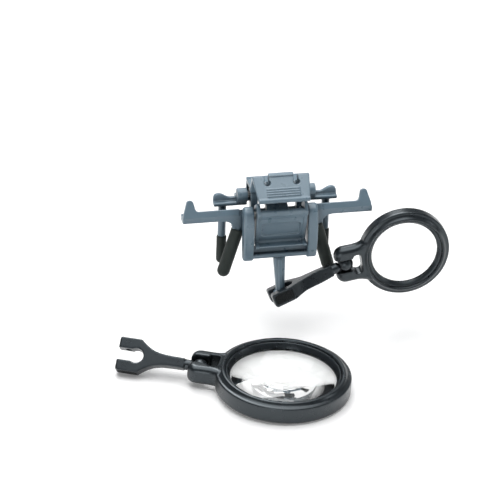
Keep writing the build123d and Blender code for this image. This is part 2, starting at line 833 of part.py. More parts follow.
# A head has its ball at the local origin, the ring centre along +X and its front face towards +Z
def make_head(ring_radius, opening_radius, reach, height, window_length):
    lens_radius = opening_radius + back_lip
    bore = lens_radius + lens_fit
    half = height / 2
    shoulder = half - shoulder_drop
    ear_outer = ear_gap_half + ear_thick
    ear_half = half - ear_step
    ear_end = -ear_overhang
    window_end = ball_radius + window_length
    flare = radians(ear_flare)
    flare_radius = ring_radius - ring_wall / 2
    flare_point = (reach - flare_radius * cos(flare), flare_radius * sin(flare))
    with BuildPart() as frame:
        with BuildSketch(Plane.XY):
            with BuildLine():
                Polyline((reach, 0), (ear_end, 0), (ear_end, ear_outer - ear_corner))
                RadiusArc(
                    (ear_end, ear_outer - ear_corner),
                    (ear_end + ear_corner, ear_outer),
                    ear_corner,
                )
                Spline(
                    (ear_end + ear_corner, ear_outer),
                    (window_end, ear_outer + ear_rise),
                    flare_point,
                    tangents=[(1, 0), (sin(flare), cos(flare))],
                )
                Line(flare_point, (reach, 0))
            make_face()
            mirror(about=Plane.XZ)
        extrude(amount=ear_half, both=True)
        fillet(frame.edges().group_by(Axis.Z)[0], ear_side_round)
        fillet(frame.edges().group_by(Axis.Z)[-1], ear_side_round)
        with BuildSketch(Plane.XY):
            with Locations((reach, 0)):
                Circle(ring_radius - ring_wall)
        extrude(amount=height, both=True, mode=Mode.SUBTRACT)
        with BuildSketch(Plane.XZ):
            with BuildLine():
                Polyline(
                    (reach + bore, -lens_edge / 2),
                    (reach + opening_radius, -lens_edge / 2),
                    (reach + opening_radius + rim_round, -half),
                    (reach + ring_radius - rim_round, -half),
                    (reach + ring_radius, rim_round - half),
                    (reach + ring_radius, shoulder - shoulder_round),
                )
                RadiusArc(
                    (reach + ring_radius, shoulder - shoulder_round),
                    (reach + ring_radius - shoulder_round, shoulder),
                    -shoulder_round,
                )
                Polyline(
                    (reach + ring_radius - shoulder_round, shoulder),
                    (reach + ring_radius - ring_wall, half),
                    (reach + bore + rim_step, half),
                    (reach + bore, half - rim_step),
                    (reach + bore, -lens_edge / 2),
                )
            make_face()
        revolve(axis=Axis((reach, 0, 0), (0, 0, 1)))
        with BuildSketch(Plane.XY):
            slot_length = window_end + ear_overhang
            with Locations((ear_end + slot_length / 2, 0)):
                Rectangle(slot_length, 2 * ear_gap_half)
            with Locations((ball_radius + window_length / 2, 0)):
                RectangleRounded(window_length, 2 * window_half, window_round)
        extrude(amount=height, both=True, mode=Mode.SUBTRACT)
        Sphere(ball_radius + cup_gap, mode=Mode.SUBTRACT)
    return frame.part


def make_lens(opening_radius, reach):
    # Bulged on both sides inside a flat edge that the frame and the retainer hold
    lens_radius = opening_radius + back_lip
    clear_radius = opening_radius - lens_fit
    bulge = 2 * clear_radius * lens_bulge_share
    crown_radius = (clear_radius**2 + bulge**2) / (2 * bulge)
    half = lens_edge / 2
    with BuildPart() as lens:
        with BuildSketch(Plane.XZ):
            with BuildLine():
                top = (reach, half + bulge)
                bottom = (reach, -half - bulge)
                RadiusArc(top, (reach + clear_radius, half), crown_radius)
                Polyline(
                    (reach + clear_radius, half),
                    (reach + lens_radius, half),
                    (reach + lens_radius, -half),
                    (reach + clear_radius, -half),
                )
                RadiusArc((reach + clear_radius, -half), bottom, crown_radius)
                Line(bottom, top)
            make_face()
        revolve(axis=Axis((reach, 0, 0), (0, 0, 1)))
    return lens.part


def make_retainer(opening_radius, reach, height):
    outer = opening_radius + back_lip + lens_fit - retainer_fit
    low = lens_edge / 2 + seat_gap
    high = height / 2 - rim_step - retainer_sink
    with BuildPart() as retainer:
        with BuildSketch(Plane.XZ):
            Polygon(
                (reach + outer, low),
                (reach + outer, high),
                (reach + outer - retainer_land, high),
                (reach + opening_radius, low + retainer_sink),
                (reach + opening_radius, low),
                align=None,
            )
        revolve(axis=Axis((reach, 0, 0), (0, 0, 1)))
    return retainer.part


# Place and write both loupes; each place is the plane of a ball
def place(piece, plane, name):
    finish(piece.moved(plane.location), name)


stem_up = Vector(0, sin(stem_lean), cos(stem_lean))
stem_across = Vector(0, cos(stem_lean), -sin(stem_lean))
foot_centre = Vector(foot_plane.origin)
arm_line = Vector(1, 0, 0) * cos(radians(arm_rise)) + stem_up * sin(radians(arm_rise))
ball_centre = foot_centre + arm_line * arm_reach
mounted_arm_plane = Plane(origin=ball_centre, x_dir=arm_line, z_dir=arm_line.cross(stem_across))
head_line = Vector(cos(radians(head_rise)), 0, sin(radians(head_rise)))
mounted_head_plane = Plane(origin=ball_centre, x_dir=head_line, z_dir=(0, -1, 0))

tilt = radians(spare_tilt)
heading = radians(spare_heading)
spare_ball_z = (
    table_z + large_ring_height / 2 * cos(tilt) + (large_ring_reach + large_ring_radius) * sin(tilt)
)
spare_ball = Vector(spare_x, spare_y, spare_ball_z)
flat_line = Vector(cos(heading), sin(heading), 0)
spare_head_line = flat_line * cos(tilt) - Vector(0, 0, 1) * sin(tilt)
spare_head_plane = Plane(
    origin=spare_ball, x_dir=spare_head_line, z_dir=flat_line * sin(tilt) + Vector(0, 0, 1) * cos(tilt)
)
twist = radians(spare_fork_twist)
fork_low = fork_half_width * sin(twist) + fork_thick / 2 * cos(twist)
fork_climb = (table_z + fork_low - spare_ball_z) / arm_reach
arm_heading = radians(spare_arm_heading)
arm_flat = Vector(cos(arm_heading), sin(arm_heading), 0) * sqrt(1 - fork_climb**2)
spare_arm_line = arm_flat - Vector(0, 0, 1) * fork_climb
level = Vector(0, 0, 1).cross(spare_arm_line).normalized()
spread = level * cos(twist) + spare_arm_line.cross(level) * sin(twist)
spare_arm_plane = Plane(origin=spare_ball, x_dir=spare_arm_line, z_dir=spare_arm_line.cross(spread))

small_sizes = (small_ring_radius, small_opening_radius, small_ring_reach, small_ring_height)
large_sizes = (large_ring_radius, large_opening_radius, large_ring_reach, large_ring_height)
loupes = (
    ("loupe", small_sizes, small_window_length, mounted_arm_plane, mounted_head_plane),
    ("spare", large_sizes, large_window_length, spare_arm_plane, spare_head_plane),
)
for name, sizes, window_length, arm_plane, head_plane in loupes:
    ring_radius, opening_radius, reach, height = sizes
    place(make_arm(), arm_plane, f"{name}_arm")
    place(make_ball(), arm_plane, f"{name}_ball")
    place(make_head(*sizes, window_length), head_plane, f"{name}_frame")
    place(make_lens(opening_radius, reach), head_plane, f"{name}_lens")
    place(make_retainer(opening_radius, reach, height), head_plane, f"{name}_retainer")
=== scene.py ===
import bpy, bmesh, json, math
from mathutils import Matrix, Vector


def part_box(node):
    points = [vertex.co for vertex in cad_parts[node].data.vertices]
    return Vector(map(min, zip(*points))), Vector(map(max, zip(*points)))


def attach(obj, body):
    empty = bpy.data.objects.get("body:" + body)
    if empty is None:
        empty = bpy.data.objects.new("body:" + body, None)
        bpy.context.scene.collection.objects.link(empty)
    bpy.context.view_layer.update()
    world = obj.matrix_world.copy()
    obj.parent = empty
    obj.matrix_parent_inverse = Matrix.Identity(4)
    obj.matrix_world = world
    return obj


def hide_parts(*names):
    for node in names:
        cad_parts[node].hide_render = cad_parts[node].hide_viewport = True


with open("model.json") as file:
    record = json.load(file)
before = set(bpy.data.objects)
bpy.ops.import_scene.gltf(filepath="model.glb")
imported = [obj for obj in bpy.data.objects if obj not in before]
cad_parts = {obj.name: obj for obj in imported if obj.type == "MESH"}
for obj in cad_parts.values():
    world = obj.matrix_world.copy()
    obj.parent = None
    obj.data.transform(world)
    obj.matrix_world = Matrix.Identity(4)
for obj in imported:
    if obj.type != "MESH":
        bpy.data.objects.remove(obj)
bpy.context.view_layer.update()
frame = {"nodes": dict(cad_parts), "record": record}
nodes = frame["nodes"]
scene = bpy.context.scene
mm = 0.001
hinges = {joint["name"]: joint for joint in frame["record"]["behaviour"]["joints"]}
print("frame loaded:", len(nodes), "nodes")


def addObject(name, data):
    made = bpy.data.objects.new(name, data)
    scene.collection.objects.link(made)
    return made


def placedBy(x, y, z, origin):
    rows = [(x[i], y[i], z[i], origin[i]) for i in range(3)]
    return Matrix(rows + [(0, 0, 0, 1)])


def link(tree, a, b):
    tree.links.new(a, b)


def newMaterial(name):
    material = bpy.data.materials.new(name)
    material.use_nodes = True
    tree = material.node_tree
    return material, tree, tree.nodes["Principled BSDF"]


def objectNoise(tree, scale, detail=3.0, roughness=0.5):
    coords = tree.nodes.new("ShaderNodeTexCoord")
    noise = tree.nodes.new("ShaderNodeTexNoise")
    noise.inputs["Scale"].default_value = scale
    noise.inputs["Detail"].default_value = detail
    noise.inputs["Roughness"].default_value = roughness
    link(tree, coords.outputs["Object"], noise.inputs["Vector"])
    return noise.outputs["Fac"]


def ramp(tree, factor, stops):
    node = tree.nodes.new("ShaderNodeValToRGB")
    elements = node.color_ramp.elements
    while len(elements) < len(stops):
        elements.new(0.5)
    for element, (place, colour) in zip(elements, stops):
        element.position = place
        element.color = (*colour, 1.0)
    link(tree, factor, node.inputs["Fac"])
    return node.outputs["Color"]


def spread(tree, factor, low, high, start=0.15, end=0.85):
    node = tree.nodes.new("ShaderNodeMapRange")
    node.inputs["From Min"].default_value = start
    node.inputs["From Max"].default_value = end
    node.inputs["To Min"].default_value = low
    node.inputs["To Max"].default_value = high
    link(tree, factor, node.inputs["Value"])
    return node.outputs["Result"]


shading = {
    "samples": 8,  # of the bevel and the occlusion node
    "lean": (0.80, 0.995),  # dot product of rounded and flat normal, on a sharp edge and on a face
    "open": (0.22, 0.98),  # share of open sky, in a crevice and in the open
    "index": 1.5,
}


def softEdges(tree, radius):
    # a moulding's corners are never sharp
    node = tree.nodes.new("ShaderNodeBevel")
    node.samples = shading["samples"]
    node.inputs["Radius"].default_value = radius
    return node.outputs["Normal"]


def paintedEdgeHighlight(tree, rounded):
    # how far the rounded normal leans away from the flat one: nothing on a face, more along an edge; a
    # lighter colour is painted there as a painted edge highlight
    flat = tree.nodes.new("ShaderNodeNewGeometry")
    dot = tree.nodes.new("ShaderNodeVectorMath")
    dot.operation = "DOT_PRODUCT"
    link(tree, rounded, dot.inputs[0])
    link(tree, flat.outputs["Normal"], dot.inputs[1])
    return spread(tree, dot.outputs["Value"], 1.0, 0.0, *shading["lean"])


def blended(tree, factor, under, over):
    node = tree.nodes.new("ShaderNodeMix")
    node.data_type = "RGBA"
    link(tree, factor, node.inputs[0])
    link(tree, under, node.inputs[6])
    node.inputs[7].default_value = (*over, 1.0)
    return node.outputs[2]


def bumped(tree, height, distance, strength, normal):
    node = tree.nodes.new("ShaderNodeBump")
    node.inputs["Distance"].default_value = distance
    node.inputs["Strength"].default_value = strength
    link(tree, height, node.inputs["Height"])
    link(tree, normal, node.inputs["Normal"])
    return node.outputs["Normal"]


def joinedValues(tree, operation, first, second):
    node = tree.nodes.new("ShaderNodeMath")
    node.operation = operation
    link(tree, first, node.inputs[0])
    link(tree, second, node.inputs[1])
    return node.outputs[0]


def scaled(tree, value, factor):
    node = tree.nodes.new("ShaderNodeMath")
    node.operation = "MULTIPLY"
    node.inputs[1].default_value = factor
    link(tree, value, node.inputs[0])
    return node.outputs[0]


def paintedCreviceShade(tree, reach):
    # nothing in the open, more where two faces close in on each other; it darkens the colour there as
    # painted shade
    node = tree.nodes.new("ShaderNodeAmbientOcclusion")
    node.samples = shading["samples"]
    node.inputs["Distance"].default_value = reach
    return spread(tree, node.outputs["AO"], 1.0, 0.0, *shading["open"])


def mouldedPlastic(settings):
    material, tree, bsdf = newMaterial(settings["name"])
    cloudy = objectNoise(tree, settings["cloudScale"], detail=4.0)
    grain = objectNoise(tree, settings["grainScale"], detail=2.0, roughness=0.6)
    flow = objectNoise(tree, settings["flowScale"], detail=3.0, roughness=0.4)
    rounded = softEdges(tree, settings["edge"])
    colour = ramp(tree, cloudy, [(0.2, settings["dark"]), (0.8, settings["light"])])
    # a lighter colour along the edges, painted on as a highlight
    edgeHighlight = scaled(tree, paintedEdgeHighlight(tree, rounded), settings["edgeHighlightAmount"])
    edgeHighlighted = blended(tree, edgeHighlight, colour, settings["edgeHighlight"])
    # a darker colour in crevices and recesses, painted on as shade
    paintedShade = scaled(tree, paintedCreviceShade(tree, settings["creviceReach"]), settings["creviceDepth"])
    grained = bumped(tree, grain, settings["grainDepth"], settings["grainStrength"], rounded)
    link(tree, blended(tree, paintedShade, edgeHighlighted, settings["crevice"]), bsdf.inputs["Base Color"])
    link(tree, spread(tree, flow, *settings["roughness"]), bsdf.inputs["Roughness"])
    link(tree, grained, bsdf.inputs["Normal"])
    bsdf.inputs["Specular Tint"].default_value = (*settings["sheen"], 1.0)
    bsdf.inputs["IOR"].default_value = shading["index"]
    bsdf.inputs["Specular IOR Level"].default_value = settings["shine"]
    return material


# in these settings the lighter edge colour is a painted edge highlight and the crevice colour is painted
# shade
greySettings = {
    "name": "blueGreyMoulding",
    "dark": (0.118, 0.174, 0.218),
    "light": (0.148, 0.212, 0.262),
    "edgeHighlight": (0.48, 0.56, 0.61),
    "edgeHighlightAmount": 0.85,
    "crevice": (0.016, 0.030, 0.042),
    "creviceReach": 0.0042,
    "creviceDepth": 0.95,
    "sheen": (0.92, 0.97, 1.0),
    "cloudScale": 120.0,
    "flowScale": 420.0,
    "grainScale": 9000.0,
    "grainDepth": 0.00002,
    "grainStrength": 0.20,
    "roughness": (0.24, 0.36),
    "shine": 0.65,
    "edge": 0.00036,
}
blackSettings = {
    "name": "blackMoulding",
    "dark": (0.0050, 0.0062, 0.0075),
    "light": (0.0080, 0.0098, 0.0116),
    "edgeHighlight": (0.036, 0.042, 0.048),
    "edgeHighlightAmount": 0.5,
    "crevice": (0.003, 0.0035, 0.004),
    "creviceReach": 0.0018,
    "creviceDepth": 0.7,
    "sheen": (0.82, 0.93, 1.0),
    "cloudScale": 140.0,
    "flowScale": 500.0,
    "grainScale": 8000.0,
    "grainDepth": 0.00002,
    "grainStrength": 0.22,
    "roughness": (0.24, 0.35),
    "shine": 0.70,
    "edge": 0.00034,
}
sleeveSettings = {
    "name": "sleeveRubber",
    "dark": (0.0150, 0.0195, 0.0175),
    "light": (0.0210, 0.0265, 0.0240),
    "edgeHighlight": (0.036, 0.042, 0.039),
    "edgeHighlightAmount": 0.3,
    "crevice": (0.006, 0.008, 0.007),
    "creviceReach": 0.0015,
    "creviceDepth": 0.5,
    "sheen": (0.92, 1.0, 0.96),
    "cloudScale": 160.0,
    "flowScale": 600.0,
    "grainScale": 6000.0,
    "grainDepth": 0.00003,
    "grainStrength": 0.35,
    "roughness": (0.52, 0.66),
    "shine": 0.35,
    "edge": 0.00025,
}
padSettings = {
    "name": "forkPadRubber",
    "dark": (0.0040, 0.0046, 0.0046),
    "light": (0.0070, 0.0078, 0.0076),
    "edgeHighlight": (0.014, 0.015, 0.015),
    "edgeHighlightAmount": 0.3,
    "crevice": (0.001, 0.001, 0.001),
    "creviceReach": 0.0006,
    "creviceDepth": 0.8,
    "sheen": (0.9, 0.97, 1.0),
    "cloudScale": 220.0,
    "flowScale": 700.0,
    "grainScale": 5200.0,
    "grainDepth": 0.00003,
    "grainStrength": 0.4,
    "roughness": (0.42, 0.58),
    "shine": 0.35,
    "edge": 0.00008,
}

steelSettings = {
    "dark": (0.42, 0.42, 0.41),
    "light": (0.56, 0.56, 0.55),
    "streakScale": 2500.0,
    "roughness": (0.22, 0.38),
}
lensSettings = {
    "tint": (0.985, 0.992, 0.990, 1.0),
    "bending": 1.49,
    "smudgeScale": 260.0,
    "smudge": (0.0, 0.012),
}


def drawnSteel(settings):
    material, tree, bsdf = newMaterial("drawnSteel")
    streaks = objectNoise(tree, settings["streakScale"], detail=2.0)
    colour = ramp(tree, streaks, [(0.3, settings["dark"]), (0.7, settings["light"])])
    link(tree, colour, bsdf.inputs["Base Color"])
    link(tree, spread(tree, streaks, *settings["roughness"]), bsdf.inputs["Roughness"])
    bsdf.inputs["Metallic"].default_value = 1.0
    return material


def clearLens(settings):
    material, tree, bsdf = newMaterial("clearLens")
    bsdf.inputs["Base Color"].default_value = settings["tint"]
    bsdf.inputs["Transmission Weight"].default_value = 1.0
    bsdf.inputs["IOR"].default_value = settings["bending"]
    smudges = objectNoise(tree, settings["smudgeScale"])
    link(tree, spread(tree, smudges, *settings["smudge"]), bsdf.inputs["Roughness"])
    return material


padRubber = mouldedPlastic(padSettings)
lensClear = clearLens(lensSettings)
finishes = {
    "grey_plastic": mouldedPlastic(greySettings),
    "black_plastic": mouldedPlastic(blackSettings),
    "sleeve_rubber": mouldedPlastic(sleeveSettings),
    "steel": drawnSteel(steelSettings),
    "clear_lens": lensClear,
}
for part in frame["record"]["subparts"]:
    node = nodes[part["node"]]
    node.data.materials.clear()
    node.data.materials.append(finishes[part["material_slot"]])
print("finishes set")


def tidyMesh(mesh, weld=1e-7):
    mesh.validate()
    shaped = bmesh.new()
    shaped.from_mesh(mesh)
    bmesh.ops.remove_doubles(shaped, verts=shaped.verts, dist=weld)
    bmesh.ops.recalc_face_normals(shaped, faces=shaped.faces)
    shaped.to_mesh(mesh)
    shaped.free()


def finishPiece(piece, body, replaced=()):
    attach(piece, body)
    if replaced:
        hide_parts(*replaced)
    return piece


def newPiece(name, verts, faces, material):
    mesh = bpy.data.meshes.new(name)
    mesh.from_pydata([tuple(v) for v in verts], [], faces)
    tidyMesh(mesh)
    mesh.materials.append(material)
    return addObject(name, mesh)


def appliedMesh(source, name):
    # what the modifiers make of the source, which is then no longer needed
    bpy.context.view_layer.update()
    ready = source.evaluated_get(bpy.context.evaluated_depsgraph_get())
    mesh = bpy.data.meshes.new_from_object(ready)
    bpy.data.objects.remove(source)
    mesh.name = name
    return mesh


def middleOf(node):
    low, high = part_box(node)
    return (Vector(low) + Vector(high)) / 2


def turned(profile, centre, axis, side, steps):
    # profile points are (radius, height) along the axis; both ends lie on the axis
    other = axis.cross(side)
    verts, faces, rows = [], [], []
    for radius, height in profile:
        base = centre + axis * height
        if radius == 0:
            rows.append([len(verts)])
            verts.append(base)
            continue
        row = []
        for step in range(steps):
            angle = 2 * math.pi * step / steps
            row.append(len(verts))
            verts.append(base + (side * math.cos(angle) + other * math.sin(angle)) * radius)
        rows.append(row)
    for low, high in zip(rows, rows[1:]):
        for step in range(steps):
            after = (step + 1) % steps
            if len(low) == 1:
                faces.append((low[0], high[step], high[after]))
            elif len(high) == 1:
                faces.append((low[step], high[0], low[after]))
            else:
                faces.append((low[step], high[step], high[after], low[after]))
    return verts, faces


# the mouldings again with real rounded edges, made from the frame's own shapes
moulded = {
    "bevelled": {  # width in millimetres
        "loupe_retainer": 0.10,
        "spare_retainer": 0.12,
        "left_front_sleeve": 0.20,
        "right_front_sleeve": 0.20,
        "left_rear_sleeve": 0.16,
        "right_rear_sleeve": 0.16,
    },
    "softened": {  # remeshed at so many millimetres, then smoothed in so many passes
        "front_bar": (0.15, 5),
        "rear_bar": (0.14, 5),
        "squeeze_lever": (0.12, 5),
        "cover_plate": (0.12, 4),
        "flip_yoke": (0.13, 6),
        "stalk": (0.12, 6),
        "loupe_arm": (0.13, 9),
        "spare_arm": (0.13, 9),
        "loupe_frame": (0.14, 7),
        "spare_frame": (0.17, 6),
    },
    "merge": 2e-6,
    "flatAngle": 1.0,  # faces that meet flatter than this become one
    "edgeAngle": 28.0,
    "sharpAngle": 35.0,
    "steps": 3,
    "smoothing": 0.5,
}
# the rim's slope is hollowed, so that its crest and its shoulder stand out as two lines;
# crest and shoulder are radii, half is half the rim's thickness
hollows = {
    "loupe_frame": {
        "lens": "loupe_lens",
        "swing": "loupe_swing",
        "crest": 11.3,
        "shoulder": 12.6,
        "half": 2.3,
        "drop": 1.0,
    },
    "spare_frame": {
        "lens": "spare_lens",
        "swing": "spare_swing",
        "crest": 17.1,
        "shoulder": 18.4,
        "half": 3.0,
        "drop": 1.0,
    },
}
hollowSettings = {"cuts": 7, "power": 2.2, "margin": 0.08, "snap": 1e-6}
bodies = frame["record"]["behaviour"]["bodies"]
bodyOf = {node: body for body, held in bodies.items() for node in held}
slotOf = {part["node"]: part["material_slot"] for part in frame["record"]["subparts"]}


def headAxes(lens, swing):
    # lens centre, the way out to it from the ball, and the way its front faces
    centre = middleOf(lens)
    side = (centre - Vector(hinges[swing]["pos_m"])).normalized()
    axis = side.cross(Vector(hinges[swing]["axis"]).normalized()).normalized()
    if axis.dot(Vector((0, -1, 1))) < 0:
        axis = -axis
    return centre, side, axis


def hollowSlope(shaped, settings):
    centre, side, axis = headAxes(settings["lens"], settings["swing"])
    crest, shoulder = settings["crest"], settings["shoulder"]
    half, drop = settings["half"], settings["drop"]
    margin, snap = hollowSettings["margin"], hollowSettings["snap"]

    def place(vert):
        away = vert.co - centre
        height = away.dot(axis)
        return (away - axis * height).length / mm, height / mm

    def share(radius):
        return min(max((radius - crest) / (shoulder - crest), 0), 1)

    cuts = hollowSettings["cuts"]
    for cut in range(1, cuts):
        level = centre + axis * ((half - drop * cut / cuts) * mm)
        everything = shaped.verts[:] + shaped.edges[:] + shaped.faces[:]
        bmesh.ops.bisect_plane(shaped, geom=everything, dist=snap, plane_co=level, plane_no=axis)
    moved = 0
    for vert in shaped.verts:
        radius, height = place(vert)
        straight = half - drop * share(radius)
        if crest < radius < shoulder + margin and abs(height - straight) < margin:
            hollow = half - drop + drop * (1 - share(radius)) ** hollowSettings["power"]
            vert.co += axis * ((hollow - straight) * mm)
            moved += 1
    print("slope hollowed at", moved, "points")


def mergedSource(node):
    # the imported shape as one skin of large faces, on an object that modifiers can work on
    mesh = nodes[node].data.copy()
    shaped = bmesh.new()
    shaped.from_mesh(mesh)
    bmesh.ops.remove_doubles(shaped, verts=shaped.verts, dist=moulded["merge"])
    flat = math.radians(moulded["flatAngle"])
    bmesh.ops.dissolve_limit(shaped, angle_limit=flat, verts=shaped.verts, edges=shaped.edges)
    if node in hollows:
        hollowSlope(shaped, hollows[node])
    bmesh.ops.recalc_face_normals(shaped, faces=shaped.faces)
    shaped.to_mesh(mesh)
    shaped.free()
    return addObject(node + "Source", mesh)


# the arm's neck runs on thick until the ball: millimetres from the ball and how much thicker there
neckSwell = ((-13.0, 0), (-8.5, 0.26), (-4.4, 0.26), (-4.2, 0.42), (-2.7, 0.42), (-1.8, 0.25))
# the joint whose axis lies along the arm, and its sign if it runs from fork to ball
necks = {"loupe_arm": ("loupe_twist", 1), "spare_arm": ("spare_twist", -1)}


def swellAt(place):
    for (start, low), (end, high) in zip(neckSwell, neckSwell[1:]):
        if start <= place < end:
            return low + (high - low) * (place - start) / (end - start)
    return 0


def swellNeck(mesh, twist, sign):
    ball = Vector(hinges[twist]["pos_m"])
    along = Vector(hinges[twist]["axis"]).normalized() * sign
    for vert in mesh.vertices:
        away = vert.co - ball
        place = away.dot(along)
        level = along * place
        vert.co = ball + level + (away - level) * (1 + swellAt(place / mm))


def bevelled(source, width):
    bevel = source.modifiers.new("edges", "BEVEL")
    bevel.width = width * mm
    bevel.segments = moulded["steps"]
    bevel.limit_method = "ANGLE"
    bevel.angle_limit = math.radians(moulded["edgeAngle"])
    bevel.use_clamp_overlap = True


def softened(source, voxel, passes):
    remesh = source.modifiers.new("grid", "REMESH")
    remesh.mode = "VOXEL"
    remesh.voxel_size = voxel * mm
    remesh.use_smooth_shade = True
    smooth = source.modifiers.new("rounding", "SMOOTH")
    smooth.factor = moulded["smoothing"]
    smooth.iterations = passes


def mouldedPiece(node, source, sharp=None):
    mesh = appliedMesh(source, node + "Moulded")
    if node in necks:
        swellNeck(mesh, *necks[node])
    tidyMesh(mesh)
    mesh.materials.clear()
    mesh.materials.append(finishes[slotOf[node]])
    mesh.shade_smooth()
    if sharp:
        mesh.set_sharp_from_angle(angle=math.radians(sharp))
    print(node, len(mesh.polygons), "faces")
    piece = addObject(node + "Moulded", mesh)
    return finishPiece(piece, bodyOf[node], (node,))


for nodeName, rounding in moulded["bevelled"].items():
    sourcePiece = mergedSource(nodeName)
    bevelled(sourcePiece, rounding)
    mouldedPiece(nodeName, sourcePiece, moulded["sharpAngle"])
for nodeName, (voxelSize, smoothPasses) in moulded["softened"].items():
    sourcePiece = mergedSource(nodeName)
    softened(sourcePiece, voxelSize, smoothPasses)
    mouldedPiece(nodeName, sourcePiece)
print("mouldings rounded")


# lenses, turned finely so that they bend light cleanly; sizes in millimetres
smallLens = {"clear": 9.45, "edge": 10.7, "thick": 1.4, "bulge": 1.285}
largeLens = {"clear": 14.65, "edge": 15.9, "thick": 1.4, "bulge": 1.99}
lensCut = {"rows": 30, "around": 160, "seat": 0.06, "chamfer": 0.12}


def lensPiece(settings, name, node, body, swing):
    clear, edge, bulge = settings["clear"], settings["edge"], settings["bulge"]
    half = settings["thick"] / 2
    rows, chamfer = lensCut["rows"], lensCut["chamfer"]
    radius = (clear**2 + bulge**2) / (2 * bulge)
    profile = []
    for step in range(rows + 1):
        r = clear * step / rows
        profile.append((r, half + bulge - radius + math.sqrt(radius**2 - r**2)))
    profile += [(clear + lensCut["seat"], half), (edge - chamfer, half), (edge, half - chamfer)]
    profile += [(r, -h) for r, h in reversed(profile)]
    profile = [(r * mm, h * mm) for r, h in profile]
    centre, side, axis = headAxes(node, swing)
    verts, faces = turned(profile, centre, axis, side, lensCut["around"])
    piece = newPiece(name, verts, faces, lensClear)
    piece.data.shade_smooth()
    return finishPiece(piece, body, (node,))


lensPiece(smallLens, "smallLensTurned", "loupe_lens", "loupe_head", "loupe_swing")
lensPiece(largeLens, "largeLensTurned", "spare_lens", "spare_head", "spare_swing")
print("lenses turned")


# rubber pads let into the outer faces of both forks, with fine cross ribs
forkPad = {
    "reach": 20.4,  # ball to the fork's pivot
    "tip": 2.8,
    "start": 0.62,  # from the fork's end
    "length": 5.36,
    "width": 2.56,
    "corner": 0.6,
    "cornerSteps": 6,
    "face": 4.75,  # fork's half width
    "recess": 0.3,
    "thick": 0.2,
    "gap": 0.02,  # under the pad
    "ribs": 9,
    "ribSides": 14,
    "ribSunk": 0.03,
    "ribRadius": 0.13,
    "ribLength": 2.2,
    "sharpAngle": 35.0,
    "twist": 45.0,  # the spare fork's turn about its arm
}


def ribTree():
    tree = bpy.data.node_groups.new("crossRibs", "GeometryNodeTree")
    face = tree.interface
    face.new_socket("Geometry", in_out="INPUT", socket_type="NodeSocketGeometry")
    for name in ("First", "Pitch", "Radius", "Length", "Height"):
        face.new_socket(name, in_out="INPUT", socket_type="NodeSocketFloat")
    face.new_socket("Count", in_out="INPUT", socket_type="NodeSocketInt")
    face.new_socket("Finish", in_out="INPUT", socket_type="NodeSocketMaterial")
    face.new_socket("Geometry", in_out="OUTPUT", socket_type="NodeSocketGeometry")
    new = tree.nodes.new
    given = new("NodeGroupInput")
    start, pitch = new("ShaderNodeCombineXYZ"), new("ShaderNodeCombineXYZ")
    link(tree, given.outputs["First"], start.inputs["X"])
    link(tree, given.outputs["Height"], start.inputs["Z"])
    link(tree, given.outputs["Pitch"], pitch.inputs["X"])
    row = new("GeometryNodeMeshLine")
    row.mode = "OFFSET"
    link(tree, given.outputs["Count"], row.inputs["Count"])
    link(tree, start.outputs[0], row.inputs["Start Location"])
    link(tree, pitch.outputs[0], row.inputs["Offset"])
    bar = new("GeometryNodeMeshCylinder")
    bar.inputs["Vertices"].default_value = forkPad["ribSides"]
    link(tree, given.outputs["Radius"], bar.inputs["Radius"])
    link(tree, given.outputs["Length"], bar.inputs["Depth"])
    copies = new("GeometryNodeInstanceOnPoints")
    copies.inputs["Rotation"].default_value = (math.pi / 2, 0, 0)
    link(tree, row.outputs["Mesh"], copies.inputs["Points"])
    link(tree, bar.outputs["Mesh"], copies.inputs["Instance"])
    joined = new("GeometryNodeJoinGeometry")
    real = new("GeometryNodeRealizeInstances")
    finish = new("GeometryNodeSetMaterial")
    link(tree, given.outputs["Geometry"], joined.inputs[0])
    link(tree, copies.outputs["Instances"], joined.inputs[0])
    link(tree, joined.outputs[0], real.inputs[0])
    link(tree, real.outputs[0], finish.inputs["Geometry"])
    link(tree, given.outputs["Finish"], finish.inputs["Material"])
    out = new("NodeGroupOutput")
    link(tree, finish.outputs["Geometry"], out.inputs[0])
    return tree


def setInput(modifier, name, value):
    for item in modifier.node_group.interface.items_tree:
        if item.in_out == "INPUT" and item.name == name:
            modifier[item.identifier] = value


def roundedPlate(length, width, corner, steps, thick):
    # lies on z = 0 with its middle at the origin
    outline = []
    for turn, (signX, signY) in enumerate(((1, 1), (-1, 1), (-1, -1), (1, -1))):
        for step in range(steps + 1):
            angle = math.pi / 2 * (turn + step / steps)
            x = signX * (length / 2 - corner) + corner * math.cos(angle)
            y = signY * (width / 2 - corner) + corner * math.sin(angle)
            outline.append((x, y))
    count = len(outline)
    verts = [(x, y, z) for z in (0, thick) for x, y in outline]
    faces = [tuple(reversed(range(count))), tuple(range(count, 2 * count))]
    for i in range(count):
        after = (i + 1) % count
        faces.append((i, after, count + after, count + i))
    return verts, faces


